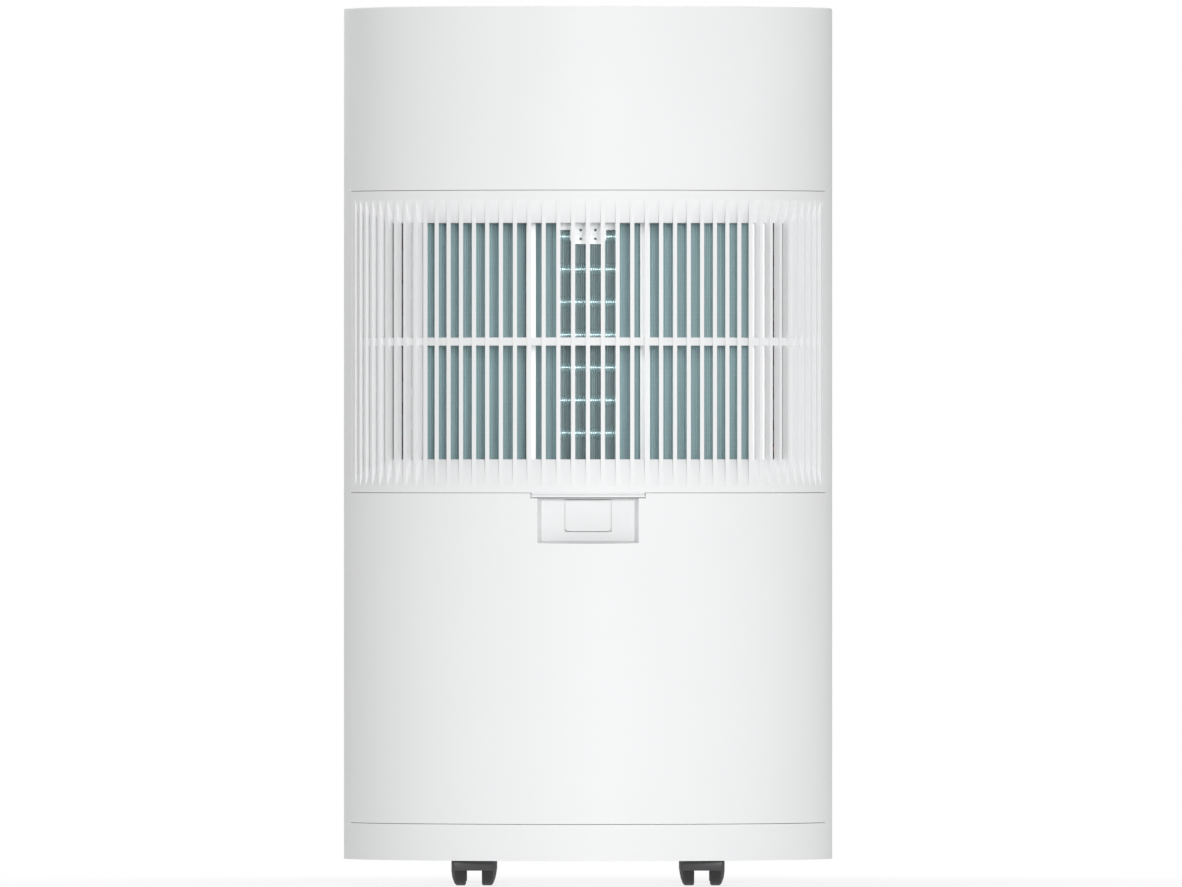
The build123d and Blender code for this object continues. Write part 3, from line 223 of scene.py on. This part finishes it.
def coil_fin_material(name, middle, side):
    """Coated aluminium fins with streaks down each fin; the middle bay's fins are painted lighter than the
    sides' as painted light, for the light that falls differently into the fin pack.
    """
    mat, tree, shader = new_material(name, side, 0.4)
    across = tree.nodes.new("ShaderNodeMapRange")
    across.inputs["From Min"].default_value = PAINTED_LIGHT_FADE[0]
    across.inputs["From Max"].default_value = PAINTED_LIGHT_FADE[1]
    tree.links.new(off_centre(tree), across.inputs["Value"])
    streak = noise(tree, 300.0, 3.0, (3, 1, 0.05))
    # painted light: a lighter copy of the coat in the middle bay, the side copy beyond it
    coats = mottled(tree, streak, middle, 0.7), mottled(tree, streak, side, 0.86)
    tree.links.new(colour_mix(tree, across.outputs["Result"], *coats), shader.inputs["Base Color"])
    tree.links.new(spread(tree, noise(tree, 80.0), 0.34, 0.48), shader.inputs["Roughness"])
    add_bump(tree, shader, noise(tree, 500.0), 0.1, 0.00005)
    return mat


def coil_tube_material(name, half_x, pipe, collar):
    """Bare copper beyond the end plates; inside the fin pack the tube wears the fins' coated collars."""
    mat, tree, shader = new_material(name, pipe, 0.3)
    outside = tree.nodes.new("ShaderNodeMath")
    outside.operation = "GREATER_THAN"
    outside.inputs[1].default_value = half_x
    tree.links.new(off_centre(tree), outside.inputs[0])
    share = outside.outputs[0]
    coats = mottled(tree, noise(tree, 90.0), collar, 0.85), mottled(tree, noise(tree, 50.0), pipe, 0.75)
    tree.links.new(colour_mix(tree, share, *coats), shader.inputs["Base Color"])
    tree.links.new(spread(tree, share, 0.25, 1.0), shader.inputs["Metallic"])
    tree.links.new(spread(tree, noise(tree, 200.0), 0.28, 0.34), shader.inputs["Roughness"])
    return mat


# ---- materials ----------------------------------------------------------------------------------
evap_low, evap_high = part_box("evaporator_fins")
cond_low, cond_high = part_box("condenser_fins")
MATERIALS = {
    "casing_white": plastic("casing_white", WHITE, 0.5, gloss=0.25),
    "grille_white": plastic("grille_white", WHITE, 0.5, gloss=0.25),
    "inner_white": plastic("inner_white", INNER_WHITE, 0.5),
    "foam_white": plastic("foam_white", (0.84, 0.84, 0.80), 0.85, grain=420.0, bump=0.5, depth=0.0003),
    "blower_plastic": plastic("blower_plastic", (0.03, 0.032, 0.035), 0.45),
    "galvanised": metal("galvanised", (0.62, 0.65, 0.67), 0.42, scale=70.0),
    "motor_steel": metal("motor_steel", (0.36, 0.37, 0.39), 0.45),
    "compressor_black": plastic("compressor_black", (0.018, 0.018, 0.02), 0.32, grain=260.0, bump=0.12,
                                coat=0.3),
    "rubber_black": plastic("rubber_black", (0.02, 0.02, 0.02), 0.75, grain=900.0, bump=0.25),
    "bolt_steel": metal("bolt_steel", (0.55, 0.56, 0.57), 0.34),
    "screw_steel": metal("screw_steel", (0.34, 0.345, 0.35), 0.6, metallic=0.4),
    "copper": metal("copper", COPPER, 0.3),
    "lens_dark": plastic("lens_dark", (0.012, 0.013, 0.016), 0.12, bump=0.01, coat=0.6),
    "key_grey": plastic("key_grey", (0.55, 0.56, 0.57), 0.35),
    "board_green": plastic("board_green", (0.02, 0.13, 0.06), 0.4, grain=500.0, bump=0.2),
    "caster_hood": plastic("caster_hood", (0.030, 0.030, 0.033), 0.3, coat=0.35),
    "caster_wheel": plastic("caster_wheel", (0.012, 0.012, 0.012), 0.55, grain=1100.0, bump=0.2),
    "float_foam": plastic("float_foam", (0.70, 0.60, 0.30), 0.8, grain=600.0, bump=0.4, depth=0.0002),
    "coated_tube": coil_tube_material("coated_tube", evap_high.x, COPPER, TUBE_COLLAR),
    "coated_fin": coil_fin_material("coated_fin", TEAL_MIDDLE_PAINTED_LIGHT, TEAL_SIDE),
    "bare_fin": metal("bare_fin", (0.74, 0.75, 0.76), 0.36, stretch=(1, 1, 0.15)),
    "mesh": plastic("mesh", (0.62, 0.68, 0.69), 0.5),
}
# Nodes that don't wear their slot's look
OWN_LOOK = {"evaporator_tubes": "coated_tube", "screws": "screw_steel"}

slots = {s["node"]: s["material_slot"] for s in frame["record"]["subparts"]}
for name, obj in nodes.items():
    key = OWN_LOOK.get(name, slots[name])
    obj.data.materials.clear()
    obj.data.materials.append(MATERIALS[key])


# ---- meshes -------------------------------------------------------------------------------------
def mesh_object(name, build, material):
    """A new mesh object filled in by build(bmesh)."""
    bm = bmesh.new()
    build(bm)
    mesh = bpy.data.meshes.new(name)
    bm.to_mesh(mesh)
    bm.free()
    obj = bpy.data.objects.new(name, mesh)
    bpy.context.scene.collection.objects.link(obj)
    mesh.materials.append(material)
    return obj


def fin_section(x, y, low, high, wave, side_wave, fold):
    """Four corners of one fold line of a fin: two on its left face, two on its right."""
    in_front = abs(x) < MIDDLE_BAY and y > high.y - FLAT_FRONT
    depth = wave if in_front else side_wave
    shift = depth if fold % 2 else -depth
    return [[(x + shift + half, y, z) for z in (low.z, high.z)] for half in (-FIN_T / 2, FIN_T / 2)]


def fin_pack(name, low, high, wave, side_wave, material):
    """Thin corrugated fins across X, folded along the air's way (Y), nearly flat in front in the middle bay."""
    room = (high.x - low.x) - 2 * side_wave
    count = int(room / FIN_PITCH)

    def build(bm):
        for k in range(count):
            x = low.x + side_wave + (k + 0.5) * room / count
            columns = []
            for j in range(FIN_FOLDS + 1):
                y = low.y + (high.y - low.y) * j / FIN_FOLDS
                section = fin_section(x, y, low, high, wave, side_wave, j)
                columns.append([[bm.verts.new(corner) for corner in side] for side in section])
            for (a_left, a_right), (b_left, b_right) in zip(columns, columns[1:]):
                bm.faces.new((a_left[0], a_left[1], b_left[1], b_left[0]))
                bm.faces.new((a_right[0], b_right[0], b_right[1], a_right[1]))
                bm.faces.new((a_left[1], a_right[1], b_right[1], b_left[1]))
                bm.faces.new((a_left[0], b_left[0], b_right[0], a_right[0]))
            for left, right in (columns[0], columns[-1]):
                bm.faces.new((left[0], right[0], right[1], left[1]))
        bmesh.ops.recalc_face_normals(bm, faces=bm.faces)

    return mesh_object(name, build, material)


def bridge(bm, rings):
    """Closed skin over a row of four-cornered rings."""
    for a, b in zip(rings, rings[1:]):
        for j in range(4):
            bm.faces.new((a[j], a[(j + 1) % 4], b[(j + 1) % 4], b[j]))
    bm.faces.new(rings[0])
    bm.faces.new(rings[-1])


def strand(bm, start, end):
    """A thin four-sided strand between two points."""
    a, b = Vector(start), Vector(end)
    side = (b - a).normalized().cross(Vector((0, 1, 0))).normalized() * STRAND_R
    up = Vector((0, STRAND_R, 0))
    bridge(bm, [[bm.verts.new(p + o) for o in (side, up, -side, -up)] for p in (a, b)])


def screen(name, low, high, material):
    """Open net of crossing strands for the filter."""
    y = (low.y + high.y) / 2

    def build(bm):
        columns = int((high.x - low.x) / NET_PITCH)
        for k in range(columns + 1):
            x = low.x + (high.x - low.x) * k / columns
            strand(bm, (x, y, low.z), (x, y, high.z))
        rows = int((high.z - low.z) / NET_PITCH)
        for k in range(rows + 1):
            z = low.z + (high.z - low.z) * k / rows
            strand(bm, (low.x, y + STRAND_R, z), (high.x, y + STRAND_R, z))
        bmesh.ops.recalc_face_normals(bm, faces=bm.faces)

    return mesh_object(name, build, material)


def lip_shadow_strip(bm):
    """Painted shade: a thin dark strip in the gap under the pull lip, in place of the shadow there, curved with
    the casing and thinning out at both ends.
    """
    inner, outer = SHADOW_STRIP_RADII
    bottom, top = SHADOW_STRIP_Z
    rings = []
    for k in range(SHADOW_STRIP_STEPS + 1):
        share = 2 * k / SHADOW_STRIP_STEPS - 1
        angle = SHADOW_STRIP_ANGLE * share
        thin = max(0.0, (abs(share) - 1 + SHADOW_STRIP_TAPER) / SHADOW_STRIP_TAPER) ** 2
        low = bottom + (top - bottom) * 0.8 * thin
        corners = [(inner, low), (outer, low), (outer, top), (inner, top)]
        rings.append([bm.verts.new((r * math.sin(angle), r * math.cos(angle), z)) for r, z in corners])
    bridge(bm, rings)
    bmesh.ops.recalc_face_normals(bm, faces=bm.faces)


def fitted_tab(bm):
    """The latch tab with narrower side gaps, and a flange behind it that hides what is past its edges."""
    bm.from_mesh(nodes["latch_tab"].data)
    for vertex in bm.verts:
        vertex.co.x *= TAB_WIDENING
    for low, high in (TAB_FLANGE, TAB_CORE):
        centre = [(a + b) / 2 for a, b in zip(low, high)]
        size = [b - a for a, b in zip(low, high)]
        place = Matrix.Translation(centre) @ Matrix.Diagonal((*size, 1))
        bmesh.ops.create_cube(bm, size=1.0, matrix=place)


evaporator = fin_pack("evaporator_fin_pack", evap_low, evap_high, FLAT_WAVE, DEEP_WAVE,
                      MATERIALS["coated_fin"])
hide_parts("evaporator_fins")
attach(evaporator, "cabinet")

condenser = fin_pack("condenser_fin_pack", cond_low, cond_high, FLAT_WAVE, FLAT_WAVE, MATERIALS["bare_fin"])
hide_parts("condenser_fins")
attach(condenser, "cabinet")

net_low, net_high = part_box("filter_screen")
net = screen("filter_net", net_low, net_high, MATERIALS["mesh"])
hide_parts("filter_screen")
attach(net, "grille")

# painted shade: a dark strip for the shadow in the gap under the pull lip, carried with the grille
shadow_strip = mesh_object("lip_shadow_strip", lip_shadow_strip, MATERIALS["rubber_black"])
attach(shadow_strip, "grille")

tab = mesh_object("latch_tab_fitted", fitted_tab, MATERIALS["casing_white"])
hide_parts("latch_tab")
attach(tab, "latch")


# ---- floor, light and camera --------------------------------------------------------------------
def floor_material():
    """Pale matt sheet, which brightens outwards until it merges with the white surroundings."""
    mat, tree, shader = new_material("floor_pale", (0.86, 0.86, 0.86), 0.7)
    tone = ramp(tree, noise(tree, 3.0), [(0.3, (0.85, 0.85, 0.85)), (0.7, (0.87, 0.87, 0.87))])
    tree.links.new(tone, shader.inputs["Base Color"])
    coords = tree.nodes.new("ShaderNodeTexCoord")
    reach = tree.nodes.new("ShaderNodeVectorMath")
    reach.operation = "LENGTH"
    tree.links.new(coords.outputs["Object"], reach.inputs[0])
    outwards = tree.nodes.new("ShaderNodeMapRange")
    outwards.interpolation_type = "SMOOTHSTEP"
    outwards.inputs["From Min"].default_value = FLOOR_FADE[0]
    outwards.inputs["From Max"].default_value = FLOOR_FADE[1]
    outwards.inputs["To Min"].default_value = FLOOR_GLOW
    tree.links.new(reach.outputs["Value"], outwards.inputs["Value"])
    glow = tree.nodes.new("ShaderNodeEmission")
    blend = tree.nodes.new("ShaderNodeMixShader")
    tree.links.new(outwards.outputs["Result"], blend.inputs["Fac"])
    tree.links.new(shader.outputs["BSDF"], blend.inputs[1])
    tree.links.new(glow.outputs["Emission"], blend.inputs[2])
    tree.links.new(blend.outputs["Shader"], tree.nodes["Material Output"].inputs["Surface"])
    return mat


def floor_sheet(bm):
    """Round sheet on the ground."""
    bmesh.ops.create_circle(bm, cap_ends=True, radius=FLOOR_R, segments=96)


def area_light(name, place, target, side, power):
    """Square light that faces the target."""
    data = bpy.data.lights.new(name, "AREA")
    data.size = side
    data.energy = power
    obj = bpy.data.objects.new(name, data)
    bpy.context.scene.collection.objects.link(obj)
    obj.location = place
    obj.rotation_euler = (Vector(target) - Vector(place)).to_track_quat("-Z", "Y").to_euler()
    return obj


def studio_world():
    """Even white surroundings: dim as a light, full white where the camera sees them."""
    world = bpy.data.worlds.new("studio")
    world.use_nodes = True
    tree = world.node_tree
    background = tree.nodes["Background"]
    background.inputs["Color"].default_value = (1, 1, 1, 1)
    background.inputs["Strength"].default_value = WORLD_LIGHT
    seen = tree.nodes.new("ShaderNodeBackground")
    seen.inputs["Color"].default_value = (1, 1, 1, 1)
    seen.inputs["Strength"].default_value = 1.0
    rays = tree.nodes.new("ShaderNodeLightPath")
    blend = tree.nodes.new("ShaderNodeMixShader")
    tree.links.new(rays.outputs["Is Camera Ray"], blend.inputs["Fac"])
    tree.links.new(background.outputs["Background"], blend.inputs[1])
    tree.links.new(seen.outputs["Background"], blend.inputs[2])
    tree.links.new(blend.outputs["Shader"], tree.nodes["World Output"].inputs["Surface"])
    return world


def rear_camera():
    """Square-on camera behind the object, far off so that the view is nearly parallel."""
    data = bpy.data.cameras.new("camera")
    data.lens = LENS
    data.sensor_width = SENSOR
    distance = FRAME_WIDTH * LENS / SENSOR
    data.clip_start = 1.0
    data.clip_end = 2.0 * distance
    camera = bpy.data.objects.new("camera", data)
    bpy.context.scene.collection.objects.link(camera)
    camera.location = AIM + Vector((0, distance, 0))
    camera.rotation_euler = (AIM - camera.location).to_track_quat("-Z", "Y").to_euler()
    return camera


floor = mesh_object("floor", floor_sheet, floor_material())

lower, upper = cad_bounds
middle = Vector((0, 0, (lower.z + upper.z) / 2))
lights = {name: area_light(name, place, middle, side, power) for name, place, side, power in LIGHTS}
lit = bpy.data.collections.new("coil_lit")
for obj in (evaporator, nodes["evaporator_tubes"], nodes["sensor_bracket"], nodes["filter_frame"]):
    lit.objects.link(obj)
lights["coil_light"].light_linking.receiver_collection = lit

bpy.context.scene.world = studio_world()
bpy.context.scene.camera = rear_camera()
bpy.context.scene.view_settings.view_transform = "Standard"
